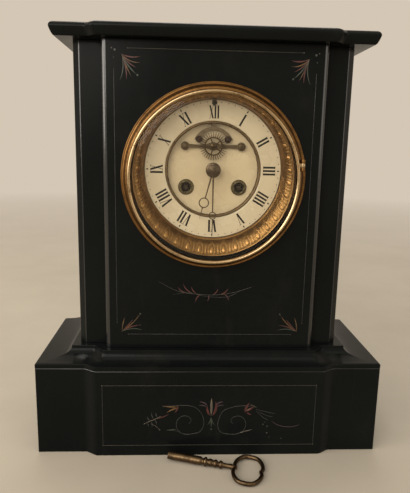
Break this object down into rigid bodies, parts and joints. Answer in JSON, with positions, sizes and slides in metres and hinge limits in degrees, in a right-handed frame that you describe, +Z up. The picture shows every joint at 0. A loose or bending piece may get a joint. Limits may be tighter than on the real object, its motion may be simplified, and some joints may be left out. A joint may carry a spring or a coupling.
{
  "type": "mantel clock",
  "caption": "Black slate mantel clock with a stepped plinth, round glazed dial door, escapement open to view, striking movement inside and a loose winding key.",
  "frame": {"origin": "centre of the plinth's underside, in the plane the clock stands on", "axes": "+X to the right as seen from the dial side, +Y from the dial towards the rear door, +Z up"},
  "size_m": [0.31, 0.1766, 0.3722],
  "materials": {
    "slate": "polished",
    "core": "rough",
    "brass": "lacquered",
    "gilt": "gilt",
    "enamel": "gloss",
    "glass": "clear",
    "steel": "polished",
    "blued_steel": "blued",
    "ruby": "polished",
    "bronze": "aged"
  },
  "bodies": {
    "case": {"plinth_front_slab": "slate", "plinth_side_slab_left": "slate", "plinth_side_slab_right": "slate", "plinth_back_slab": "slate", "plinth_core": "core", "plinth_cap": "slate", "front_panel": "slate", "side_slab_left": "slate", "side_slab_right": "slate", "back_panel": "slate", "top_slab": "slate", "bezel_ring": "brass", "sight_ring": "gilt", "chapter_ring": "enamel", "dial_centre": "enamel", "dial_pan": "brass", "winding_collet_left": "brass", "winding_collet_right": "brass", "escapement_bridge": "brass", "bridge_screw_left": "steel", "bridge_screw_right": "steel", "front_plate": "brass", "back_plate": "brass", "pillar_bottom": "brass", "pillar_left": "brass", "pillar_right": "brass", "suspension_cock": "brass", "strap_left": "brass", "strap_right": "brass", "strap_screw_left": "steel", "strap_screw_right": "steel", "rear_ring": "brass", "bell_stand": "steel", "bell": "gilt"},
    "front_door": {"door_bezel": "brass", "door_glass": "glass"},
    "back_door": {"rear_door": "brass"},
    "centre_arbor": {"minute_hand": "blued_steel", "centre_wheel": "brass"},
    "hour_pipe": {"hour_hand": "blued_steel"},
    "motion_work": {"motion_wheel": "brass"},
    "third_arbor": {"third_wheel": "brass"},
    "escape_arbor": {"escape_wheel": "gilt"},
    "intermediate_arbor": {"intermediate_wheel": "brass"},
    "going_drum": {"going_barrel": "brass"},
    "going_square": {"going_winding_arbor": "steel"},
    "strike_square": {"strike_winding_arbor": "steel"},
    "strike_drum": {"strike_barrel": "brass"},
    "count_arbor": {"strike_second_wheel": "brass", "count_wheel": "brass"},
    "pin_arbor": {"pin_wheel": "brass"},
    "hammer_arbor": {"hammer": "steel"},
    "anchor_arbor": {"pallet_anchor": "steel", "pallet_left": "ruby", "pallet_right": "ruby"},
    "pendulum": {"suspension_spring": "steel", "pendulum_rod": "brass", "pendulum_bob": "brass"},
    "regulator": {"regulating_arbor": "steel"},
    "key": {"winding_key": "bronze"}
  },
  "joints": [
    {"name": "front_door_hinge", "type": "hinge", "parent": "case", "child": "front_door", "pos_m": [0.075, -0.0564, 0.2624], "axis": [0, 0, 1], "range_deg": [0, 110]},
    {"name": "rear_door_hinge", "type": "hinge", "parent": "case", "child": "back_door", "pos_m": [-0.0747, 0.0572, 0.2539], "axis": [0, 0, 1], "range_deg": [0, 120]},
    {"name": "minute_hand_turn", "type": "hinge", "parent": "case", "child": "centre_arbor", "pos_m": [0, 0, 0.2564], "axis": [0, 1, 0], "continuous": true},
    {"name": "hour_hand_turn", "type": "hinge", "parent": "case", "child": "hour_pipe", "pos_m": [0, 0, 0.2564], "axis": [0, 1, 0], "continuous": true},
    {"name": "motion_wheel_turn", "type": "hinge", "parent": "case", "child": "motion_work", "pos_m": [-0.0126, 0, 0.2564], "axis": [0, 1, 0], "continuous": true},
    {"name": "third_wheel_turn", "type": "hinge", "parent": "case", "child": "third_arbor", "pos_m": [-0.01271, 0, 0.2666], "axis": [0, 1, 0], "continuous": true},
    {"name": "escape_wheel_turn", "type": "hinge", "parent": "case", "child": "escape_arbor", "pos_m": [0, 0, 0.2768], "axis": [0, 1, 0], "continuous": true},
    {"name": "intermediate_wheel_turn", "type": "hinge", "parent": "case", "child": "intermediate_arbor", "pos_m": [0.01941, 0, 0.26445], "axis": [0, 1, 0], "continuous": true},
    {"name": "going_barrel_turn", "type": "hinge", "parent": "case", "child": "going_drum", "pos_m": [0.0235, 0, 0.241], "axis": [0, 1, 0], "continuous": true},
    {"name": "going_winding", "type": "hinge", "parent": "case", "child": "going_square", "pos_m": [0.0235, 0, 0.241], "axis": [0, 1, 0], "range_deg": [0, 1800]},
    {"name": "strike_winding", "type": "hinge", "parent": "case", "child": "strike_square", "pos_m": [-0.0235, 0, 0.241], "axis": [0, 1, 0], "range_deg": [0, 1800]},
    {"name": "strike_barrel_turn", "type": "hinge", "parent": "case", "child": "strike_drum", "pos_m": [-0.0235, 0, 0.241], "axis": [0, 1, 0], "continuous": true},
    {"name": "count_wheel_turn", "type": "hinge", "parent": "case", "child": "count_arbor", "pos_m": [-0.03356, 0, 0.26257], "axis": [0, 1, 0], "continuous": true},
    {"name": "pin_wheel_turn", "type": "hinge", "parent": "case", "child": "pin_arbor", "pos_m": [-0.026, 0, 0.2776], "axis": [0, 1, 0], "continuous": true},
    {"name": "hammer_lift", "type": "hinge", "parent": "case", "child": "hammer_arbor", "pos_m": [-0.044, 0, 0.2744], "axis": [0, 1, 0], "range_deg": [0, 12]},
    {"name": "anchor_rock", "type": "hinge", "parent": "case", "child": "anchor_arbor", "pos_m": [0, 0, 0.30948], "axis": [0, 1, 0], "range_deg": [-1.5, 1.5]},
    {"name": "pendulum_swing", "type": "hinge", "parent": "case", "child": "pendulum", "pos_m": [0, 0, 0.30948], "axis": [0, 1, 0], "range_deg": [-1.5, 1.5]},
    {"name": "regulator_turn", "type": "hinge", "parent": "case", "child": "regulator", "pos_m": [0, 0, 0.3134], "axis": [0, 1, 0], "range_deg": [-720, 720]},
    {"name": "key_lift", "type": "slide", "parent": "case", "child": "key", "axis": [0, 0, 1], "range_m": [0, 0.05]}
  ],
  "couplings": [
    {"joint": "hour_hand_turn", "follows": "minute_hand_turn", "ratio": 0.083333},
    {"joint": "motion_wheel_turn", "follows": "minute_hand_turn", "ratio": -0.33333},
    {"joint": "third_wheel_turn", "follows": "minute_hand_turn", "ratio": -12},
    {"joint": "escape_wheel_turn", "follows": "minute_hand_turn", "ratio": 144},
    {"joint": "intermediate_wheel_turn", "follows": "minute_hand_turn", "ratio": -0.125},
    {"joint": "going_barrel_turn", "follows": "minute_hand_turn", "ratio": 0.017857},
    {"joint": "strike_barrel_turn", "follows": "count_wheel_turn", "ratio": -0.14286},
    {"joint": "pin_wheel_turn", "follows": "count_wheel_turn", "ratio": -8},
    {"joint": "anchor_rock", "follows": "pendulum_swing", "ratio": 1}
  ]
}
